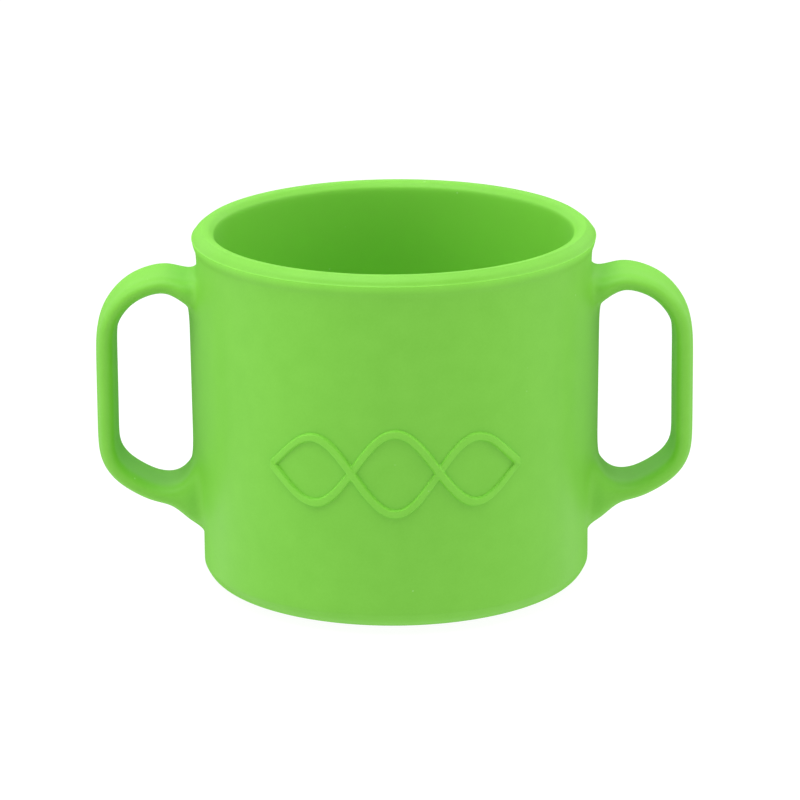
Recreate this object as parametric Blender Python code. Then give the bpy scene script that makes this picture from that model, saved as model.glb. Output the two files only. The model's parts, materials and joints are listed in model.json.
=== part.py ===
"""A toddler's open training cup with two handles, moulded in one piece of soft silicone.

The moulding is modelled as its natural regions: floor, rounded base corner, wall,
drinking rim, a handle on each side and a raised pattern on the front. Metres, +Z up, origin at
the centre of the foot, handles along X, front towards -Y.
"""

import math

import bmesh
import bpy
from mathutils import Vector

# Driving dimensions
CUP_HEIGHT = 0.0765
RIM_RADIUS = 0.0420         # widest point of the drinking rim
RIM_DROP = 0.0019           # the rim's outer edge, below its crown
RIM_DEPTH = 0.0042          # the whole rim
CROWN_RADIUS = 0.0398       # the rim's highest circle
RIM_SLOPE_POWER = 1.28      # the rim's outside is close to a straight slope
LIP_DEPTH = 0.0022          # the rim's inside is rounded this far down
LIP_POWER = 2.2
RIM_EDGE_SOFTNESS = 0.0013  # height of the rounding under the rim's outer edge
RIM_EDGE_OFFSET = 0.0002
NECK_RADIUS = 0.0411        # the outside, just under the rim
BELLY_RADIUS = 0.0404       # the outside, just above the bottom corner
MOUTH_RADIUS = 0.0374       # the inside, under the rim
WELL_RADIUS = 0.0368        # the inside, just above the floor
FLOOR_THICKNESS = 0.0036
FLOOR_FILLET = 0.0050
CORNER_WIDTH = 0.0168       # the outer bottom corner is a quarter of a squared-off ellipse
CORNER_HEIGHT = 0.0065
CORNER_POWER = 2.85
FOOT_INNER_RADIUS = 0.0204  # flat ring that the cup stands on
FOOT_OUTER_RADIUS = 0.0250
FOOT_RECESS = 0.0009
BASE_HEIGHT = 0.0110        # where the base corner meets the wall
FLOOR_RADIUS = 0.0314       # where the floor meets the base corner
JOINT_GAP = 0.0003

GRIP_REACH = 0.0601         # from the cup's axis to the middle of the grip
GRIP_THICKNESS = 0.0042
GRIP_WIDTH = 0.0150
TOP_ARM_HEIGHT = 0.0657     # crest of the top arm's centreline
TOP_BEND = 0.0126           # centreline radii of the two bends
LOW_BEND = 0.0100
LOW_BEND_HEIGHT = 0.0317    # centre of the lower bend
LOW_ARM_SLOPE = math.radians(18)
ROOT_THICKENING = 0.0032    # extra half thickness where an arm meets the wall
ROOT_LENGTH = 0.0075        # how far from the wall an arm starts to thicken
ROOT_SPREAD = 0.0022        # extra half width at the wall
ROOT_CURVE = 1.6            # how suddenly an arm thickens towards the wall
ROOT_LIMIT = 1.3            # cap on the thickening inside the wall
ROOT_SINK = 0.55            # share of the thickening that goes under the top arm
ROOT_DEPTH = 0.0030         # how far an arm starts inside the wall, before it is cut back
TOP_ROOT_DROP = 0.0016      # the top arm's centreline at its start, below the crest
SPINE_PROUD = 0.0018        # the rib between the roots stands this far off the wall
SPINE_WIDTH = 0.0150
SPINE_DEPTH = 0.0035        # half thickness of the rib, most of it inside the wall
SECTION_POWER = 2.4         # roundness of the handle's section

PATTERN_HEIGHT = 0.0350     # middle of the raised pattern
PATTERN_LENGTH = 0.0540     # along the wall
PATTERN_SWING = 0.0085      # how far a strand swings up and down at the middle
PATTERN_WAVES = 3           # half waves, which is also the number of eyes in the braid
PATTERN_END = 0.12          # the strands' swing starts and ends at this share of a half sine
PATTERN_FULLNESS = 0.6      # under 1 keeps the outer eyes nearly as tall as the middle one
STRAND_WIDTH = 0.0021
STRAND_TOP = 0.7            # width of a strand's top as a share of its foot
STRAND_STEPS = 16           # along each half wave
RELIEF = 0.0006

ROUND_STEPS = 48
ARC_STEPS = 6
ARM_STEPS = 30
ROOT_STEPS = 3
BEND_STEPS = 9
SECTION_STEPS = 14
MERGE_DISTANCE = 1e-6
SHARP_ANGLE = math.radians(35)
ROUGHNESS = 0.5

GREEN = (0.205, 0.597, 0.070, 1.0)
PALE_GREEN = (0.262, 0.720, 0.127, 1.0)
DEEP_GREEN = (0.130, 0.440, 0.035, 1.0)


def clear_scene():
    for obj in list(bpy.data.objects):
        bpy.data.objects.remove(obj, do_unlink=True)


def silicone(name, colour):
    material = bpy.data.materials.new(name)
    material.use_nodes = True
    shader = material.node_tree.nodes["Principled BSDF"]
    shader.inputs["Base Color"].default_value = colour
    shader.inputs["Roughness"].default_value = ROUGHNESS
    shader.inputs["Metallic"].default_value = 0.0
    return material


def finish(name, mesh_builder, colour=GREEN):
    """Turns a bmesh into a named, smooth-shaded object with its own material."""
    bmesh.ops.recalc_face_normals(mesh_builder, faces=mesh_builder.faces)
    mesh = bpy.data.meshes.new(name)
    mesh_builder.to_mesh(mesh)
    mesh_builder.free()
    mesh.shade_smooth()
    mesh.set_sharp_from_angle(angle=SHARP_ANGLE)
    mesh.materials.append(silicone(name, colour))
    obj = bpy.data.objects.new(name, mesh)
    bpy.context.scene.collection.objects.link(obj)
    return obj


def turned(name, outline, closed, colour=GREEN):
    """Spins an outline of (radius, height) points about Z. An open outline starts and ends on the axis."""
    builder = bmesh.new()
    points = [builder.verts.new((radius, 0.0, height)) for radius, height in outline]
    edges = [builder.edges.new(pair) for pair in zip(points, points[1:])]
    if closed:
        edges.append(builder.edges.new((points[-1], points[0])))
    bmesh.ops.spin(
        builder, geom=points + edges, axis=(0, 0, 1), cent=(0, 0, 0),
        angle=2 * math.pi, steps=ROUND_STEPS, use_merge=True,
    )
    bmesh.ops.remove_doubles(builder, verts=builder.verts, dist=MERGE_DISTANCE)
    return finish(name, builder, colour)


def squared(value, power):
    return math.copysign(abs(value) ** (2 / power), value)


def arc(centre, radii, start, end, steps=ARC_STEPS, power=2.0):
    """Points of an ellipse's arc, with its angles in degrees. A power over 2 squares the ellipse off."""
    points = []
    for step in range(steps + 1):
        angle = math.radians(start + (end - start) * step / steps)
        across = radii[0] * squared(math.cos(angle), power)
        up = radii[1] * squared(math.sin(angle), power)
        points.append((centre[0] + across, centre[1] + up))
    return points


def outer_radius(height):
    """The wall's outside, which narrows evenly from the neck to the bottom corner."""
    share = (height - CORNER_HEIGHT) / (CUP_HEIGHT - RIM_DEPTH - CORNER_HEIGHT)
    return BELLY_RADIUS + (NECK_RADIUS - BELLY_RADIUS) * share


def inner_radius(height):
    """The wall's inside, drafted so that the cup leaves its mould core."""
    share = (height - FLOOR_THICKNESS) / (CUP_HEIGHT - FLOOR_THICKNESS)
    return WELL_RADIUS + (MOUTH_RADIUS - WELL_RADIUS) * share


def make_floor():
    """The floor's disc, with the flat ring that the cup stands on and the recess inside it."""
    outline = [(0.0, FOOT_RECESS), (FOOT_INNER_RADIUS - FOOT_RECESS, FOOT_RECESS), (FOOT_INNER_RADIUS, 0.0)]
    outline += [(FOOT_OUTER_RADIUS, 0.0), corner_point(FLOOR_RADIUS)]
    outline += [(FLOOR_RADIUS, FLOOR_THICKNESS), (0.0, FLOOR_THICKNESS)]
    turned("cup_floor", outline, closed=False, colour=DEEP_GREEN)


def corner_share(radius):
    """How far across the bottom corner a radius is, from 0 at the foot to 1 at the wall."""
    return (radius - BELLY_RADIUS + CORNER_WIDTH) / CORNER_WIDTH


def corner_point(radius):
    """The point of the outer bottom corner at a radius."""
    rise = 1 - (1 - corner_share(radius) ** CORNER_POWER) ** (1 / CORNER_POWER)
    return radius, CORNER_HEIGHT * rise


def make_base_corner():
    """The rounded corner between floor and wall, with its fillet inside."""
    start = math.degrees(math.acos(corner_share(FLOOR_RADIUS + JOINT_GAP) ** (CORNER_POWER / 2)))
    fillet_radius = inner_radius(FLOOR_THICKNESS + FLOOR_FILLET)
    outline = arc(
        (BELLY_RADIUS - CORNER_WIDTH, CORNER_HEIGHT), (CORNER_WIDTH, CORNER_HEIGHT),
        -start, 0, power=CORNER_POWER,
    )
    outline += [(outer_radius(BASE_HEIGHT), BASE_HEIGHT), (inner_radius(BASE_HEIGHT), BASE_HEIGHT)]
    outline += arc(
        (fillet_radius - FLOOR_FILLET, FLOOR_THICKNESS + FLOOR_FILLET),
        (FLOOR_FILLET, FLOOR_FILLET), 0, -90,
    )
    turned("base_corner", outline, closed=True, colour=DEEP_GREEN)


def make_wall():
    bottom = BASE_HEIGHT + JOINT_GAP
    top = CUP_HEIGHT - RIM_DEPTH - JOINT_GAP
    outline = [(outer_radius(bottom), bottom), (outer_radius(top), top)]
    outline += [(inner_radius(top), top), (inner_radius(bottom), bottom)]
    turned("cup_wall", outline, closed=True)


def make_rim():
    """A rim with a sloping outside, a crisp outer edge and a hollow under it that runs into the neck."""
    bottom = CUP_HEIGHT - RIM_DEPTH
    edge_height = CUP_HEIGHT - RIM_DROP
    outline = [(NECK_RADIUS, bottom)]
    outline += arc(
        (NECK_RADIUS, edge_height - RIM_EDGE_OFFSET), (RIM_RADIUS - NECK_RADIUS, RIM_EDGE_SOFTNESS), -80, 0,
    )
    outline += arc(
        (CROWN_RADIUS, edge_height), (RIM_RADIUS - CROWN_RADIUS, RIM_DROP), 10, 90, power=RIM_SLOPE_POWER,
    )
    outline += arc(
        (CROWN_RADIUS, CUP_HEIGHT - LIP_DEPTH), (CROWN_RADIUS - MOUTH_RADIUS, LIP_DEPTH), 105, 180,
        power=LIP_POWER,
    )
    outline.append((inner_radius(bottom), bottom))
    turned("drinking_rim", outline, closed=True, colour=PALE_GREEN)


def handle_line():
    """The handle's centreline from the top root to the bottom one, as (reach, height) points."""
    top_root = Vector((NECK_RADIUS - ROOT_DEPTH, TOP_ARM_HEIGHT - TOP_ROOT_DROP))
    bend_start = Vector((GRIP_REACH - TOP_BEND, TOP_ARM_HEIGHT))
    line = []
    for step in range(ROOT_STEPS):
        share = step / ROOT_STEPS
        point = top_root.lerp(bend_start, share)
        # the arm rises out of the wall and levels off at its crest
        point.y = TOP_ARM_HEIGHT - TOP_ROOT_DROP * (1 - share) ** 2
        line.append(tuple(point))
    line += arc((bend_start.x, TOP_ARM_HEIGHT - TOP_BEND), (TOP_BEND, TOP_BEND), 90, 0, BEND_STEPS)
    low_reach = GRIP_REACH - LOW_BEND
    low_end = -90 + math.degrees(LOW_ARM_SLOPE)
    line += arc((low_reach, LOW_BEND_HEIGHT), (LOW_BEND, LOW_BEND), 0, low_end, BEND_STEPS)
    reach, height = line[-1]
    root = BELLY_RADIUS - ROOT_DEPTH
    line.append((root, height - (reach - root) * math.tan(LOW_ARM_SLOPE)))
    return [Vector((reach, 0.0, height)) for reach, height in line]


def evenly_spaced(line, count):
    """The same line, with its points an equal way apart."""
    lengths = [0.0]
    for a, b in zip(line, line[1:]):
        lengths.append(lengths[-1] + (b - a).length)
    points = []
    for index in range(count + 1):
        target = lengths[-1] * index / count
        k = max(i for i in range(len(line) - 1) if lengths[i] <= target + 1e-12)
        share = (target - lengths[k]) / (lengths[k + 1] - lengths[k])
        points.append(line[k].lerp(line[k + 1], share))
    return points


def rounded_section(across, along, half_thickness, half_width):
    """Offsets round a section that is between an ellipse and a rounded rectangle."""
    offsets = []
    for step in range(SECTION_STEPS):
        angle = 2 * math.pi * step / SECTION_STEPS
        u = squared(math.cos(angle), SECTION_POWER) * half_thickness
        v = squared(math.sin(angle), SECTION_POWER) * half_width
        offsets.append(across * u + along * v)
    return offsets


def loft(builder, rings):
    """Joins rings of points with quads and closes both ends."""
    rows = [[builder.verts.new(point) for point in ring] for ring in rings]
    for row, following in zip(rows, rows[1:]):
        for k in range(len(row)):
            n = (k + 1) % len(row)
            builder.faces.new((row[k], row[n], following[n], following[k]))
    builder.faces.new(list(reversed(rows[0])))
    builder.faces.new(rows[-1])


def wall_cutter():
    """The wall's outside grown by the joint gap, which the handles are cut back to."""
    height = CUP_HEIGHT
    gap = JOINT_GAP / math.cos(math.pi / ROUND_STEPS)
    outline = [(0.0, 0.0), (outer_radius(0.0) + gap, 0.0), (outer_radius(height) + gap, height), (0.0, height)]
    cutter = turned("wall_cutter", outline, closed=False)
    cutter.hide_render = True
    cutter.display_type = "WIRE"
    return cutter


def join(target, other, operation, name):
    modifier = target.modifiers.new(name, "BOOLEAN")
    modifier.operation = operation
    modifier.object = other
    modifier.solver = "EXACT"


def make_handle(name, side, cutter):
    """A flat oval bar that leaves the neck, drops down the grip and sweeps back in to the belly."""
    line = evenly_spaced(handle_line(), ARM_STEPS)
    y_axis = Vector((0, 1, 0))
    rings = []
    for k, point in enumerate(line):
        direction = (line[min(k + 1, ARM_STEPS)] - line[max(k - 1, 0)]).normalized()
        across = direction.cross(y_axis).normalized()
        nearness = max(0.0, 1 - (point.x - BELLY_RADIUS) / ROOT_LENGTH) ** ROOT_CURVE
        nearness = min(nearness, ROOT_LIMIT)
        half_thickness = GRIP_THICKNESS / 2 + ROOT_THICKENING * nearness
        half_width = GRIP_WIDTH / 2 + ROOT_SPREAD * nearness
        sink = Vector((0, 0, -ROOT_SINK * ROOT_THICKENING * nearness))
        centre = point + (sink if point.z > CUP_HEIGHT / 2 else Vector())
        rings.append([centre + offset for offset in rounded_section(across, y_axis, half_thickness, half_width)])
    builder = bmesh.new()
    loft(builder, rings)
    bmesh.ops.scale(builder, vec=(side, 1, 1), verts=builder.verts)
    handle = finish(name, builder)

    low_z, high_z = line[-1].z, line[0].z
    spine = bmesh.new()
    rows = []
    for height in (low_z, high_z):
        centre = Vector((outer_radius(height) + SPINE_PROUD - SPINE_DEPTH, 0, height))
        section = rounded_section(Vector((1, 0, 0)), y_axis, SPINE_DEPTH, SPINE_WIDTH / 2)
        rows.append([centre + offset for offset in section])
    loft(spine, rows)
    bmesh.ops.scale(spine, vec=(side, 1, 1), verts=spine.verts)
    rib = finish(name + "_rib", spine)
    rib.hide_render = True
    rib.display_type = "WIRE"
    join(handle, rib, "UNION", "rib")
    join(handle, cutter, "DIFFERENCE", "seat")
    return handle


def on_wall(along, height, lift):
    """A point of the front wall, from its distance round the wall and its height."""
    radius = outer_radius(height) / math.cos(math.pi / ROUND_STEPS) + JOINT_GAP + lift
    angle = along / outer_radius(height)
    return Vector((radius * math.sin(angle), -radius * math.cos(angle), height))


def strand_section(share, phase):
    """Four corners of a strand's section, part of the way along the braid."""
    along = (share - 0.5) * PATTERN_LENGTH
    swing = math.sin(math.pi * (PATTERN_END + (1 - 2 * PATTERN_END) * share)) ** PATTERN_FULLNESS
    swing *= phase * PATTERN_SWING
    turn = math.pi * PATTERN_WAVES * share
    height = PATTERN_HEIGHT + swing * math.sin(turn)
    slope = swing * math.cos(turn) * math.pi * PATTERN_WAVES / PATTERN_LENGTH
    run = math.hypot(1, slope)
    side_along = -slope / run * STRAND_WIDTH / 2
    side_up = STRAND_WIDTH / 2 / run
    return [
        on_wall(along + side_along * width, height + side_up * width, lift)
        for width, lift in ((1, 0.0), (STRAND_TOP, RELIEF), (-STRAND_TOP, RELIEF), (-1, 0.0))
    ]


def make_pattern():
    """Two strands that cross each other like a loose braid, raised on the front of the wall."""
    steps = STRAND_STEPS * PATTERN_WAVES
    strands = []
    for name, phase in (("front_pattern", 1), ("second_strand", -1)):
        builder = bmesh.new()
        loft(builder, [strand_section(step / steps, phase) for step in range(steps + 1)])
        strands.append(finish(name, builder, PALE_GREEN))
    strands[1].hide_render = True
    strands[1].display_type = "WIRE"
    join(strands[0], strands[1], "UNION", "braid")


clear_scene()
make_floor()
make_base_corner()
make_wall()
make_rim()
seat = wall_cutter()
make_handle("left_handle", -1, seat)
make_handle("right_handle", 1, seat)
make_pattern()
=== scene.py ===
import json
import math

import bmesh
import bpy
from mathutils import Matrix, Vector

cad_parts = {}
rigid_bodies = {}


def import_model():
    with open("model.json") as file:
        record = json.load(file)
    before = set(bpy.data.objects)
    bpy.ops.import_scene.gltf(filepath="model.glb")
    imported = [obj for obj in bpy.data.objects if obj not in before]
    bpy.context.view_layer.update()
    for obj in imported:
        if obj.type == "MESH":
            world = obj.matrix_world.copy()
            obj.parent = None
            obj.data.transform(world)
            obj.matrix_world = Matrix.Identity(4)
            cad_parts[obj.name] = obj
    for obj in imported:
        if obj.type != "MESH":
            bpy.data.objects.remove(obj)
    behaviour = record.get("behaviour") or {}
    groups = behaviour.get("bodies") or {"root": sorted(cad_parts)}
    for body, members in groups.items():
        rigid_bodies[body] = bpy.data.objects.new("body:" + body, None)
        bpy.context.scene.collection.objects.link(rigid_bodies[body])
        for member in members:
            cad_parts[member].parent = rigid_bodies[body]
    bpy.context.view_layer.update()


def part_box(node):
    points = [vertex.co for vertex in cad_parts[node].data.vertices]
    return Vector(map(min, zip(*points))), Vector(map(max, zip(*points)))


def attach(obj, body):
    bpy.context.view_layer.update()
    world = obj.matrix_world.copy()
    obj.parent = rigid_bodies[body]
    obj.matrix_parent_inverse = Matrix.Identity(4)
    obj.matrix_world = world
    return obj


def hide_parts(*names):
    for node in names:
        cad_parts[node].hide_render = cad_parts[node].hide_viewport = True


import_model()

mm = 0.001
weld = 0.001 * mm       # points closer than this are merged
nearWall = 1.5 * mm     # how far past the wall's skins still counts as near it
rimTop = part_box("drinking_rim")[1].z
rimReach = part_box("drinking_rim")[1].x
seamLow = (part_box("base_corner")[1].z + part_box("cup_wall")[0].z) / 2
seamHigh = (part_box("cup_wall")[1].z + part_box("drinking_rim")[0].z) / 2
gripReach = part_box("right_handle")[1].x
print("frame read, rim at", round(rimTop / mm, 1), "mm")


# small helpers for selecting and for edit mode

def selectOnly(piece):
    bpy.ops.object.select_all(action="DESELECT")
    piece.select_set(True)
    bpy.context.view_layer.objects.active = piece


def startEdit(piece):
    selectOnly(piece)
    bpy.ops.object.mode_set(mode="EDIT")
    bpy.ops.mesh.select_all(action="DESELECT")


def endEdit():
    bpy.ops.object.mode_set(mode="OBJECT")
    bpy.ops.object.select_all(action="DESELECT")


def faceOutwards():
    bpy.ops.mesh.select_all(action="SELECT")
    bpy.ops.mesh.normals_make_consistent(inside=False)


def pick(piece, kind, test):
    # selects only the verts, edges or faces whose place passes the test
    bpy.ops.mesh.select_mode(type=kind)
    bpy.ops.mesh.select_all(action="DESELECT")
    mesh = bmesh.from_edit_mesh(piece.data)
    if kind == "FACE":
        for face in mesh.faces:
            if test(face.calc_center_median(), face):
                face.select_set(True)
    elif kind == "EDGE":
        for edge in mesh.edges:
            if test((edge.verts[0].co + edge.verts[1].co) / 2, edge):
                edge.select_set(True)
    else:
        for vert in mesh.verts:
            if test(vert.co, vert):
                vert.select_set(True)
    mesh.select_flush_mode()
    bmesh.update_edit_mesh(piece.data)


def applyAll(piece):
    selectOnly(piece)
    for modifier in list(piece.modifiers):
        bpy.ops.object.modifier_apply(modifier=modifier.name)
    piece.select_set(False)


# the moulding is one cage, turned up from the foot, over the rim and down to the floor

moulding = {
    "sides": 32, "smoothness": 3,
    "foot": (20.4 * mm, 25.0 * mm), "recess": 0.9 * mm, "footLift": 0.27 * mm,
    # how far out from the foot ring's inner edge in mm, and the height as a share of the recess
    "recessEdge": ((-8.0, 1.0), (-1.4, 1.0), (-0.5, 0.75), (0.0, 0.111), (0.8, 0.0)),
    "cornerWidth": 16.9 * mm, "cornerHeight": 6.5 * mm,
    "cornerSquareness": 2.85, "cornerAngles": (45, 26, 11, 2),
    "belly": 40.38 * mm, "neck": 41.1 * mm,
    "lowRoot": (12.0 * mm, 28.4 * mm), "topRoot": (59.2 * mm, 67.3 * mm),
    "middleRows": (33.5 * mm, 42.5 * mm, 52.0 * mm),
    "ridgeDrop": 1.95 * mm, "crown": 39.8 * mm,
    # the cove under the rim's edge: how far in and how far down from the edge, in mm
    "cove": ((0.90, 4.6), (0.74, 2.75), (0.48, 1.9), (0.20, 1.0), (0.05, 0.28), (0.0, 0.0)),
    "edgeRow": (0.24 * mm, 0.26 * mm),      # a row in and up from the edge keeps it crisp
    "rimSquareness": 1.28, "rimAngles": (42, 68, 90),
    "lipDepth": 2.2 * mm, "lipSquareness": 2.2, "lipAngles": (62, 34, 8),
    "well": 36.8 * mm, "mouth": 37.3 * mm, "wellRows": (50.0 * mm, 28.0 * mm),
    "seamRow": 3.0 * mm,      # a row this far from each inner seam keeps the smoothed seam level
    "fillet": 5.0 * mm, "filletSquareness": 2.0, "filletAngles": (15, 45, 75), "filletEnd": 0.5 * mm,
    "floor": 3.6 * mm, "floorReach": 31.55 * mm, "floorRows": (6.0 * mm, 20.0 * mm),
}

# how much a cage ring shrinks when it is smoothed
roundness = (2 + math.cos(2 * math.pi / moulding["sides"])) / 3


def quarter(centre, size, squareness, angles):
    # points on a quarter of a squared-off ellipse; size may be negative to turn it round
    points = []
    power = 2 / squareness
    for angle in angles:
        c, s = math.cos(math.radians(angle)), math.sin(math.radians(angle))
        points.append((centre[0] + size[0] * c ** power, centre[1] + size[1] * s ** power))
    return points


def cageLine(skin, rounds=12):
    # pushes the points of a line out, so that once smoothed the line goes through where they were
    cage = [Vector(point) for point in skin]
    for _ in range(rounds):
        for k in range(1, len(cage) - 1):
            smoothed = (cage[k - 1] + 4 * cage[k] + cage[k + 1]) / 6
            cage[k] += Vector(skin[k]) - smoothed
    return cage


def wallReach(height):
    share = (height - seamLow) / (seamHigh - seamLow)
    return moulding["belly"] + (moulding["neck"] - moulding["belly"]) * share


def wellReach(height):
    return moulding["well"] + (moulding["mouth"] - moulding["well"]) * (height - moulding["floor"]) / rimTop


def footLine():
    m = moulding
    ringIn, ringOut = m["foot"]
    line = [(ringIn + out * mm, m["recess"] * share) for out, share in m["recessEdge"]]
    line += [(ringOut, 0.0), (m["floorReach"], m["footLift"])]
    centre = (m["belly"] - m["cornerWidth"], m["cornerHeight"])
    size = (m["cornerWidth"], -m["cornerHeight"])
    return line + quarter(centre, size, m["cornerSquareness"], m["cornerAngles"])


def rimLine():
    # the cove under the rim, its crisp edge, the sloping outside, the crown and the inner slope
    m = moulding
    edgeHeight = rimTop - m["ridgeDrop"]
    line = [(rimReach - inward * mm, edgeHeight - down * mm) for inward, down in m["cove"]]
    line.append((rimReach - m["edgeRow"][0], edgeHeight + m["edgeRow"][1]))
    slope = (rimReach - m["crown"], m["ridgeDrop"])
    line += quarter((m["crown"], edgeHeight), slope, m["rimSquareness"], m["rimAngles"])
    lip = (m["mouth"] - m["crown"], m["lipDepth"])
    return line + quarter((m["crown"], rimTop - m["lipDepth"]), lip, m["lipSquareness"], m["lipAngles"])


def filletLine():
    m = moulding
    centre = (wellReach(m["floor"]) - m["fillet"], m["floor"] + m["fillet"])
    line = quarter(centre, (m["fillet"], -m["fillet"]), m["filletSquareness"], m["filletAngles"])
    return line + [(m["floorReach"] - m["filletEnd"], m["floor"])]


def cupProfile():
    m = moulding
    wallRows = (seamLow, *m["lowRoot"], *m["middleRows"], *m["topRoot"])
    wellRows = (seamHigh, seamHigh - m["seamRow"], *m["wellRows"], seamLow + m["seamRow"], seamLow)
    outside = [(wallReach(height), height) for height in wallRows]
    inside = [(wellReach(height), height) for height in wellRows]
    floor = [(m["floorReach"] - inward, m["floor"]) for inward in m["floorRows"]]
    # only the round stretches are pushed out; the rows of the straight wall stay where they are
    foot = cageLine(footLine() + outside[:1])[:-1]
    rim = cageLine(outside[-1:] + rimLine() + inside[:1])[1:-1]
    fillet = cageLine(inside[-1:] + filletLine() + floor[:1])[1:-1]
    return foot + outside + rim + inside + fillet + floor


def turnCup():
    profile = cupProfile()
    reach, height = profile[0]
    bpy.ops.mesh.primitive_circle_add(
        vertices=moulding["sides"], radius=reach / roundness, fill_type="NGON", location=(0, 0, height))
    cup = bpy.context.object
    cup.name = "moulding"
    bpy.ops.object.transform_apply(location=True, rotation=True, scale=True)
    startEdit(cup)
    bpy.ops.mesh.select_all(action="SELECT")
    bpy.ops.mesh.duplicate()      # the first disc stays as the underside, the copy is drawn up the wall
    for nextReach, nextHeight in profile[1:]:
        bpy.ops.mesh.extrude_region_move(TRANSFORM_OT_translate={"value": (0, 0, nextHeight - height)})
        grow = nextReach / reach
        bpy.ops.transform.resize(value=(grow, grow, 1), center_override=(0, 0, nextHeight))
        reach, height = nextReach, nextHeight
    bpy.ops.mesh.select_all(action="SELECT")
    bpy.ops.mesh.remove_doubles(threshold=weld)
    faceOutwards()
    endEdit()
    return cup


# the handles are drawn out of the wall at both roots and bridged at the grip

handle = {
    "thickness": 4.25 * mm, "width": 16.0 * mm, "spine": 2.7 * mm,
    # a section leans 0 degrees where the handle runs straight out, and -90 down the grip
    "crest": 65.58 * mm, "topBend": 12.6 * mm, "topLeans": (-8, -30, -52, -74),
    "lowBendHeight": 31.7 * mm, "lowBend": 10.0 * mm, "lowLeans": (-106, -128, -150),
    "gripRow": 2.5 * mm,      # how far the grip's end rows stand from the bends
    # sections near the wall: reach and height in mm, lean in degrees, thickness and width in mm
    "topRoots": ((43.3, 63.95, 4, 5.3, 17.5), (46.0, 65.15, 6, 4.4, 16.2)),
    "lowRoots": ((43.2, 19.6, 2, 11.2, 17.8), (46.4, 20.0, 13, 4.7, 16.2), (50.6, 20.75, 17, 4.2, 16.0)),
}


def rootStations(sections):
    return [(reach * mm, height * mm, lean, thick * mm, wide * mm)
            for reach, height, lean, thick, wide in sections]


def bendStations(reach, height, size, leans):
    line = []
    for lean in leans:
        around = math.radians(90 + lean)
        line.append((reach + size * math.cos(around), height + size * math.sin(around),
                     lean, handle["thickness"], handle["width"]))
    return line


def turnedOver(stations, degrees):
    # the same stations from the other end, with the way that they lean turned round
    return [(reach, height, lean + degrees, thick, wide)
            for reach, height, lean, thick, wide in reversed(stations)]


def handleStations():
    # each station: reach and height of the section's middle, its lean, its thickness and width
    h = handle
    gripLine = gripReach - h["thickness"] / 2
    topHeight = h["crest"] - h["topBend"]
    lowHeight = h["lowBendHeight"]
    line = rootStations(h["topRoots"])
    line += bendStations(gripLine - h["topBend"], topHeight, h["topBend"], h["topLeans"])
    for height in (topHeight - h["gripRow"], (topHeight + lowHeight) / 2, lowHeight + h["gripRow"]):
        line.append((gripLine, height, -90, h["thickness"], h["width"]))
    line += bendStations(gripLine - h["lowBend"], lowHeight, h["lowBend"], h["lowLeans"])
    line += turnedOver(rootStations(h["lowRoots"]), -180)
    middles = cageLine([station[:2] for station in line])
    return [(*middle, *station[2:]) for middle, station in zip(middles, line)]


def turnSection(degrees, middle):
    if degrees:
        # with no window, a positive turn about Y lifts +X towards +Z
        bpy.ops.transform.rotate(value=math.radians(degrees), orient_axis="Y", center_override=middle)


def drawArm(cup, side, root, stations):
    # the root is two faces of the wall, which are drawn out from station to station
    low, high = root
    faceAngle = 2 * math.pi / moulding["sides"]
    pick(cup, "FACE", lambda at, face: at.x * side > 0 and abs(at.y) < moulding["neck"] * faceAngle
         and low < at.z < high and at.xy.length > moulding["mouth"] + nearWall)
    reach, height = wallReach((low + high) / 2), (low + high) / 2
    lean, thick, wide = 0.0, high - low, 2 * moulding["neck"] / roundness * math.sin(faceAngle)
    for k, (toReach, toHeight, toLean, toThick, toWide) in enumerate(stations):
        middle = (side * toReach, 0, toHeight)
        step = (side * (toReach - reach), 0, toHeight - height)
        flatten = 0.0 if k == 0 else 1.0      # the wall's curve is taken out at the first section
        bpy.ops.mesh.extrude_region_move(TRANSFORM_OT_translate={"value": step})
        turnSection(-lean * side, middle)
        bpy.ops.transform.resize(value=(flatten, toWide / wide, toThick / thick), center_override=middle)
        turnSection(toLean * side, middle)
        reach, height, lean, thick, wide = toReach, toHeight, toLean, toThick, toWide
    bpy.ops.mesh.delete(type="FACE")


def onSpine(at, side):
    # the middle of the wall's outside, between the two roots
    below, above = moulding["lowRoot"][1] - mm, moulding["topRoot"][0] + mm
    within = moulding["mouth"] + nearWall < at.x * side < moulding["neck"] + nearWall
    return within and abs(at.y) < mm and below < at.z < above


def growHandles(cup):
    startEdit(cup)
    stations = handleStations()
    half = len(stations) // 2 + 1
    topArm = stations[:half]
    lowArm = turnedOver(stations[half:], 180)
    for side in (-1, 1):
        drawArm(cup, side, moulding["topRoot"], topArm)
        drawArm(cup, side, moulding["lowRoot"], lowArm)
        pick(cup, "EDGE", lambda at, edge: at.x * side > 0 and edge.is_boundary)
        bpy.ops.mesh.bridge_edge_loops()
        pick(cup, "VERT", lambda at, vert: onSpine(at, side))
        bpy.ops.transform.translate(value=(side * handle["spine"], 0, 0))
    faceOutwards()
    endEdit()


# the moulding is smoothed whole, then parted along the regions' edges

regions = ("cup_floor", "base_corner", "cup_wall", "drinking_rim", "left_handle", "right_handle")


def regionOf(at):
    around = at.xy.length
    rootWidth = abs(at.y) < handle["width"] / 2 + mm
    onRib = rootWidth and moulding["lowRoot"][0] < at.z < moulding["topRoot"][1]
    if onRib and around > moulding["mouth"] + nearWall or abs(at.x) > moulding["neck"] + nearWall:
        return "left_handle" if at.x < 0 else "right_handle"
    if around < moulding["floorReach"] and at.z < moulding["floor"] + mm:
        return "cup_floor"
    if at.z < seamLow:
        return "base_corner"
    if at.z > seamHigh:
        return "drinking_rim"
    return "cup_wall"


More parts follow.
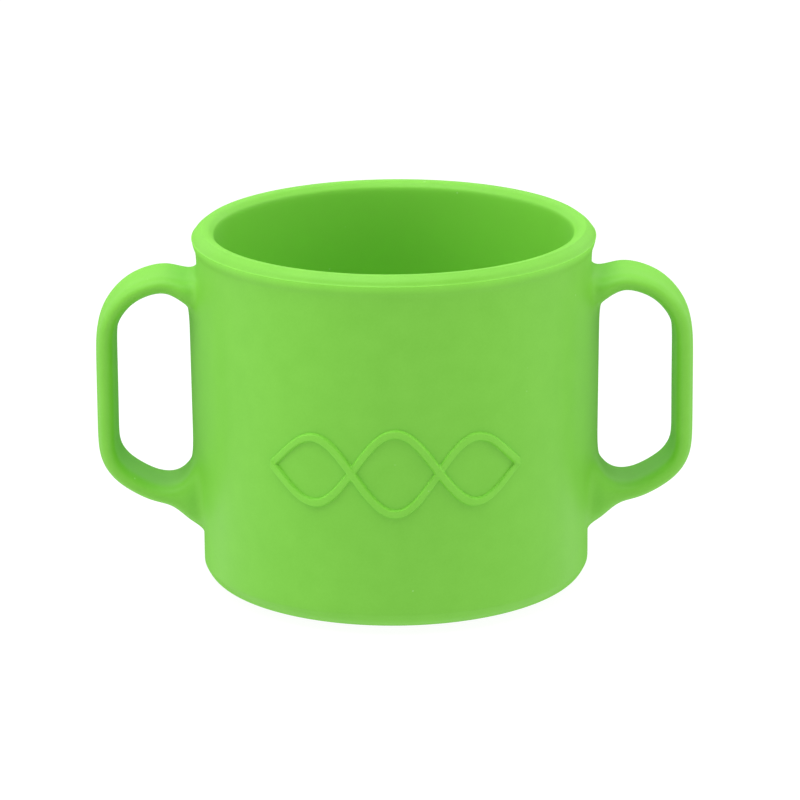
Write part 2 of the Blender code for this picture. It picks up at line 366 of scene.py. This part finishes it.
def smoothCup(cup):
    for region in regions:
        cup.data.materials.append(bpy.data.materials.new(region))
    startEdit(cup)
    for k, region in enumerate(regions):
        pick(cup, "FACE", lambda at, face: regionOf(at) == region)
        cup.active_material_index = k
        bpy.ops.object.material_slot_assign()
    endEdit()
    smooth = cup.modifiers.new("skin", "SUBSURF")
    smooth.levels = moulding["smoothness"]
    smooth.render_levels = moulding["smoothness"]
    applyAll(cup)
    cup.data.shade_smooth()


def bridgeSeam(piece, low, high):
    pick(piece, "EDGE", lambda at, edge: edge.is_boundary and low < at.z < high)
    bpy.ops.mesh.bridge_edge_loops()


def closeRegion(piece, region):
    # the openings where a handle meets the wall are filled, and the round seams bridged from skin to skin
    startEdit(piece)
    if region in ("left_handle", "right_handle"):
        pick(piece, "EDGE", lambda at, edge: edge.is_boundary)
        bpy.ops.mesh.fill(use_beauty=True)
    if region == "cup_wall":
        for side in (-1, 1):
            pick(piece, "EDGE", lambda at, edge: edge.is_boundary and at.x * side > 0
                 and seamLow + mm < at.z < seamHigh - mm)
            bpy.ops.mesh.fill(use_beauty=True)
    if region in ("cup_floor", "base_corner"):
        bridgeSeam(piece, -mm, moulding["floor"] + mm)
    if region in ("base_corner", "cup_wall"):
        bridgeSeam(piece, seamLow - mm, seamLow + mm)
    if region in ("cup_wall", "drinking_rim"):
        bridgeSeam(piece, seamHigh - mm, seamHigh + mm)
    faceOutwards()
    endEdit()


def partCup(cup):
    # a whole copy keeps the normals of the unbroken skin, so no seam shows where two regions meet
    selectOnly(cup)
    bpy.ops.object.duplicate()
    whole = bpy.context.object
    startEdit(cup)
    bpy.ops.mesh.separate(type="MATERIAL")
    endEdit()
    pieces = {}
    parts = [thing for thing in bpy.data.objects if thing.name.startswith("moulding") and thing != whole]
    for piece in parts:
        region = piece.data.materials[0].name
        closeRegion(piece, region)
        carry = piece.modifiers.new("carry", "DATA_TRANSFER")
        carry.object = whole
        carry.use_loop_data = True
        carry.data_types_loops = {"CUSTOM_NORMAL"}
        carry.loop_mapping = "NEAREST_POLYNOR"
        applyAll(piece)
        piece.name = region + "_skin"
        piece.data.materials.clear()
        pieces[region] = piece
    bpy.data.objects.remove(whole, do_unlink=True)
    for region in regions:
        bpy.data.materials.remove(bpy.data.materials[region])
    return pieces


# the raised braid on the front: two strands drawn along the wall, joined and softened

braid = {
    "height": 35.0 * mm, "length": 54.0 * mm, "swing": 8.5 * mm, "eyes": 3,
    "end": 0.12, "fullness": 0.6,
    "width": 2.1 * mm, "crownShare": 0.62,
    "relief": 0.62 * mm, "sink": 0.40 * mm, "weave": 0.16 * mm,
    "steps": 48, "grid": 0.14 * mm, "softening": 5, "softness": 0.5,
}


def strandPoint(share, phase):
    b = braid
    along = (share - 0.5) * b["length"]
    swing = phase * b["swing"] * math.sin(math.pi * (b["end"] + (1 - 2 * b["end"]) * share)) ** b["fullness"]
    turn = math.pi * b["eyes"] * share
    height = b["height"] + swing * math.sin(turn)
    slope = swing * math.cos(turn) * math.pi * b["eyes"] / b["length"]
    reach = wallReach(height) - phase * b["weave"] * math.cos(turn) + (b["relief"] - b["sink"]) / 2
    return along / wallReach(b["height"]), reach, height, math.hypot(1, slope)


def turnRound(angle):
    if angle:
        # with no window, a negative turn about Z takes the front towards +X
        bpy.ops.transform.rotate(value=-angle, orient_axis="Z", center_override=(0, 0, 0))


def drawStrand(phase):
    b = braid
    angle, reach, height, run = strandPoint(0, phase)
    bpy.ops.mesh.primitive_plane_add(size=1, rotation=(0, math.pi / 2, 0), location=(0, 0, 0))
    strand = bpy.context.object
    bpy.ops.object.transform_apply(location=True, rotation=True, scale=True)
    startEdit(strand)
    bpy.ops.mesh.select_all(action="SELECT")
    bpy.ops.transform.resize(value=(1, b["relief"] + b["sink"], b["width"] * run))
    pick(strand, "VERT", lambda at, vert: at.y < 0)
    bpy.ops.transform.resize(value=(1, 1, b["crownShare"]))
    bpy.ops.mesh.select_all(action="SELECT")
    bpy.ops.transform.translate(value=(0, -reach, height))
    turnRound(angle)
    for step in range(1, b["steps"] + 1):
        toAngle, toReach, toHeight, toRun = strandPoint(step / b["steps"], phase)
        bpy.ops.mesh.extrude_region_move(TRANSFORM_OT_translate={"value": (0, 0, toHeight - height)})
        turnRound(toAngle - angle)
        out = toReach - reach
        bpy.ops.transform.translate(value=(out * math.sin(toAngle), -out * math.cos(toAngle), 0))
        bpy.ops.transform.resize(value=(1, 1, toRun / run), center_override=(0, 0, toHeight))
        angle, reach, height, run = toAngle, toReach, toHeight, toRun
    faceOutwards()
    endEdit()
    return strand


def makeBraid():
    strand, other = drawStrand(1), drawStrand(-1)
    strand.name = "braid_relief"
    both = strand.modifiers.new("both", "BOOLEAN")
    both.operation, both.solver, both.object = "UNION", "EXACT", other
    grid = strand.modifiers.new("grid", "REMESH")
    grid.mode, grid.voxel_size = "VOXEL", braid["grid"]
    soft = strand.modifiers.new("soft", "SMOOTH")
    soft.factor, soft.iterations = braid["softness"], braid["softening"]
    applyAll(strand)
    bpy.data.objects.remove(other, do_unlink=True)
    strand.data.shade_smooth()
    return strand


# one small class for shader maths, and one that adds the other nodes

class Value:
    def __init__(self, graph, socket):
        self.graph, self.socket = graph, socket

    def math(self, operation, first, second):
        return self.graph.node("ShaderNodeMath", {"operation": operation}, {0: first, 1: second})

    def __add__(self, other):
        return self.math("ADD", self, other)

    def __radd__(self, other):
        return self.math("ADD", other, self)

    def __sub__(self, other):
        return self.math("SUBTRACT", self, other)

    def __rsub__(self, other):
        return self.math("SUBTRACT", other, self)

    def __mul__(self, other):
        return self.math("MULTIPLY", self, other)

    def __rmul__(self, other):
        return self.math("MULTIPLY", other, self)


class Graph:
    def __init__(self, owner, shader):
        # owner is a new material or world, and shader names the node that its tree starts with
        owner.use_nodes = True
        self.owner, self.tree = owner, owner.node_tree
        self.shader = self.tree.nodes[shader]

    def node(self, kind, settings=None, inputs=None, output=0):
        # output is the number of the socket that's wanted, or None for all of them
        made = self.tree.nodes.new(kind)
        for name, value in (settings or {}).items():
            setattr(made, name, value)
        self.feed(made, inputs or {})
        if output is None:
            return [Value(self, socket) for socket in made.outputs]
        return Value(self, made.outputs[output])

    def feed(self, made, inputs):
        for name, value in inputs.items():
            if isinstance(value, Value):
                self.tree.links.new(value.socket, made.inputs[name])
            else:
                made.inputs[name].default_value = value


def objectPlace(graph):
    return graph.node("ShaderNodeTexCoord", output=3)


def noise(graph, place, size, detail):
    return graph.node("ShaderNodeTexNoise", {}, {"Vector": place, "Scale": 1 / size, "Detail": detail})


def mixColours(graph, share, first, second):
    return graph.node("ShaderNodeMix", {"data_type": "RGBA"}, {0: share, 6: first, 7: second}, output=2)


def ramp(graph, value, source, target, interpolation="LINEAR"):
    return graph.node("ShaderNodeMapRange", {"interpolation_type": interpolation}, {
        "Value": value, "From Min": source[0], "From Max": source[1],
        "To Min": target[0], "To Max": target[1]})


def fade(graph, value, start, end):
    # rises softly from 0 to 1 between two values, which may run downwards
    if start < end:
        return ramp(graph, value, (start, end), (0.0, 1.0), "SMOOTHSTEP")
    return ramp(graph, value, (end, start), (1.0, 0.0), "SMOOTHSTEP")


silicone = {
    "green": (0.178, 0.548, 0.043, 1.0), "paleGreen": (0.198, 0.582, 0.053, 1.0),
    "cloudSize": 5 * mm, "cloudDetail": 3.0, "cloudShare": 0.6, "cloudRange": (0.3, 0.7),
    "wellGreen": (0.214, 0.628, 0.056, 1.0), "wellEdge": 1.0 * mm,
    # painted light: a paler colour in the cove under the rim's edge
    "paintedCoveLightReach": 1.9 * mm, "paintedCoveLightEdge": 0.12 * mm, "paintedCoveLightTone": 0.22,
    # painted shade: a darker colour where the corner turns under the cup
    "turnUnder": (2.3 * mm, 0.9 * mm), "paintedFootShadeTone": 0.5, "underRoughness": 0.3,
    "edgeFacing": (0.55, 0.95), "edgeRoughness": 0.4,
    "reliefTone": 1.07,
    "roughness": 0.47, "roughnessSpread": 0.10, "index": 1.41, "specular": 0.42,
    "grainSize": 0.42 * mm, "grainDetail": 2.0, "grainDepth": 0.010 * mm,
    "swellSize": 14 * mm, "swellDetail": 1.0, "swellDepth": 0.05 * mm,
    "dust": (0.62, 0.86, 0.48, 1.0), "dustSpacing": 3.4 * mm, "dustSize": 0.11 * mm, "dustFade": 2.4,
    "dustCut": 0.92, "dustStrength": 0.22, "dustRoughness": 0.25,
}


def lintSpecks(graph, place):
    # only the cells that draw a high number hold a speck
    s = silicone
    cells = {"Vector": place, "Scale": 1 / s["dustSpacing"], "Randomness": 1.0}
    near = graph.node("ShaderNodeTexVoronoi", {"feature": "F1"}, cells)
    tint = graph.node("ShaderNodeTexVoronoi", {"feature": "F1"}, cells, output=1)
    draw = graph.node("ShaderNodeSeparateColor", {}, {0: tint})
    chosen = graph.node("ShaderNodeMath", {"operation": "GREATER_THAN"}, {0: draw, 1: s["dustCut"]})
    size = s["dustSize"] / s["dustSpacing"]
    return fade(graph, near, size * s["dustFade"], size) * s["dustStrength"] * chosen


def makeSilicone(name, brightness):
    s = silicone
    graph = Graph(bpy.data.materials.new(name), "Principled BSDF")
    place = objectPlace(graph)
    grain = noise(graph, place, s["grainSize"], s["grainDetail"])
    swell = noise(graph, place, s["swellSize"], s["swellDetail"])
    cloud = noise(graph, place, s["cloudSize"], s["cloudDetail"])
    speck = lintSpecks(graph, place)
    patch = ramp(graph, cloud * s["cloudShare"] + grain * (1 - s["cloudShare"]), s["cloudRange"], (0.0, 1.0))
    green = mixColours(graph, patch, s["green"], s["paleGreen"])
    # light that comes through the wall makes the well a little richer
    across, along, height = graph.node("ShaderNodeSeparateXYZ", {}, {0: place}, output=None)
    wellEnd = moulding["mouth"] + s["wellEdge"]
    well = fade(graph, across * across + along * along, wellEnd ** 2, moulding["mouth"] ** 2)
    green = mixColours(graph, well, green, s["wellGreen"])
    # painted light: the cove under the rim's edge is made a little paler, where it faces the bright floor
    ridge = rimTop - moulding["ridgeDrop"]
    paintedCoveLight = fade(graph, height, ridge - s["paintedCoveLightReach"], ridge)
    paintedCoveLight = paintedCoveLight * fade(graph, height, ridge + s["paintedCoveLightEdge"], ridge) * (1 - well)
    # painted shade: the corner is darkened where it turns under, towards the floor
    paintedFootShade = fade(graph, height, *s["turnUnder"])
    # the painted light and the painted shade scale the colour here
    toneWithPaintedLightAndShade = brightness + paintedCoveLight * s["paintedCoveLightTone"] - paintedFootShade * s["paintedFootShadeTone"]
    green = graph.node("ShaderNodeVectorMath", {"operation": "SCALE"}, {0: green, "Scale": toneWithPaintedLightAndShade})
    # the gloss dies away towards the outline
    facing = graph.node("ShaderNodeLayerWeight", {}, {"Blend": 0.5}, output=1)
    rough = s["roughness"] + (cloud - 0.5) * s["roughnessSpread"] + speck * s["dustRoughness"]
    rough = rough + paintedFootShade * s["underRoughness"] + fade(graph, facing, *s["edgeFacing"]) * s["edgeRoughness"]
    relief = grain * (s["grainDepth"] / mm) + swell * (s["swellDepth"] / mm)
    bump = graph.node("ShaderNodeBump", {}, {"Height": relief, "Distance": mm, "Strength": 1.0})
    graph.feed(graph.shader, {
        "Base Color": mixColours(graph, speck, green, s["dust"]), "Roughness": rough, "Normal": bump,
        "IOR": s["index"], "Specular IOR Level": s["specular"]})
    return graph.owner


# the studio: a pale floor that runs out to the horizon, a camera and soft light

studio = {
    "floorColour": (0.12, 0.12, 0.12, 1.0), "floorGlow": 0.95, "floorRoughness": 0.8,
    "paperGrain": 11.11 * mm, "paperDetail": 2.0, "paperSpread": 0.1,
    "floorRadius": 6.0, "floorHeight": -0.02 * mm, "floorSides": 96,
    "distance": 1.1148, "elevation": 16.3, "roll": 0.42, "lens": 239.65, "clip": (0.05, 30.0),
    "aim": (1.05 * mm, 38.79 * mm),
    # the sky is white at the horizon, and higher up it is brighter behind the cup than in front
    "horizon": 1.0, "frontSky": 0.32, "backSky": 1.0,
    "skyTurn": (-0.2, 0.4), "skyRise": (0.13, 0.35),
    "lamps": (
        # name, azimuth, elevation, distance, width, height, watts
        ("leftBox", -84, 40, 0.9, 0.4, 0.8, 2.5),
        ("rightBox", 86, 40, 0.9, 0.4, 0.8, 2.1),
        ("topBox", -30, 76, 0.9, 0.8, 0.8, 5.8),
    ),
}


def makeFloor():
    graph = Graph(bpy.data.materials.new("studioWhite"), "Principled BSDF")
    paper = noise(graph, objectPlace(graph), studio["paperGrain"], studio["paperDetail"])
    graph.feed(graph.shader, {
        "Base Color": studio["floorColour"], "Specular IOR Level": 0.0,
        "Roughness": studio["floorRoughness"] + paper * studio["paperSpread"],
        "Emission Color": (1, 1, 1, 1), "Emission Strength": studio["floorGlow"]})
    bpy.ops.mesh.primitive_circle_add(
        vertices=studio["floorSides"], radius=studio["floorRadius"], fill_type="NGON",
        location=(0, 0, studio["floorHeight"]))
    floor = bpy.context.object
    floor.name = "floor"
    floor.data.materials.append(graph.owner)


def fromFront(azimuth, elevation, distance):
    a, e = math.radians(azimuth), math.radians(elevation)
    return Vector((math.sin(a) * math.cos(e), -math.cos(a) * math.cos(e), math.sin(e))) * distance


def setCamera():
    data = bpy.data.cameras.new("camera")
    data.lens = studio["lens"]
    data.clip_start, data.clip_end = studio["clip"]
    camera = bpy.data.objects.new("camera", data)
    bpy.context.scene.collection.objects.link(camera)
    aim = Vector((studio["aim"][0], 0, studio["aim"][1]))
    camera.location = aim + fromFront(0, studio["elevation"], studio["distance"])
    tilt = Matrix.Rotation(math.radians(90 - studio["elevation"]), 3, "X")
    camera.rotation_euler = (tilt @ Matrix.Rotation(math.radians(-studio["roll"]), 3, "Z")).to_euler()
    bpy.context.scene.camera = camera


def setLamps():
    middle = Vector((0, 0, rimTop / 2))
    for name, azimuth, elevation, distance, width, height, watts in studio["lamps"]:
        data = bpy.data.lights.new(name, "AREA")
        data.shape, data.size, data.size_y, data.energy = "RECTANGLE", width, height, watts
        lamp = bpy.data.objects.new(name, data)
        bpy.context.scene.collection.objects.link(lamp)
        lamp.location = middle + fromFront(azimuth, elevation, distance)
        lamp.rotation_euler = (middle - lamp.location).to_track_quat("-Z", "Y").to_euler()
        lamp.visible_camera = False


def setSky():
    graph = Graph(bpy.data.worlds.new("softWhite"), "Background")
    direction = graph.node("ShaderNodeTexCoord")
    across, along, up = graph.node("ShaderNodeSeparateXYZ", {}, {0: direction}, output=None)
    above = ramp(graph, along, studio["skyTurn"], (studio["frontSky"], studio["backSky"]))
    strength = ramp(graph, up, studio["skyRise"], (studio["horizon"], above))
    graph.feed(graph.shader, {"Color": (1, 1, 1, 1), "Strength": strength})
    bpy.context.scene.world = graph.owner


cup = turnCup()
growHandles(cup)
smoothCup(cup)
print("moulding smoothed:", len(cup.data.polygons), "faces")
green = makeSilicone("greenSilicone", 1.0)
for region, piece in partCup(cup).items():
    piece.data.materials.append(green)
    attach(piece, "root")
    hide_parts(region)
    print(piece.name, len(piece.data.polygons), "faces")

relief = makeBraid()
relief.data.materials.append(makeSilicone("reliefSilicone", silicone["reliefTone"]))
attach(relief, "root")
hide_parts("front_pattern")
print(relief.name, len(relief.data.polygons), "faces")

makeFloor()
setCamera()
setLamps()
setSky()
bpy.context.scene.view_settings.view_transform = "Standard"
print("studio set")
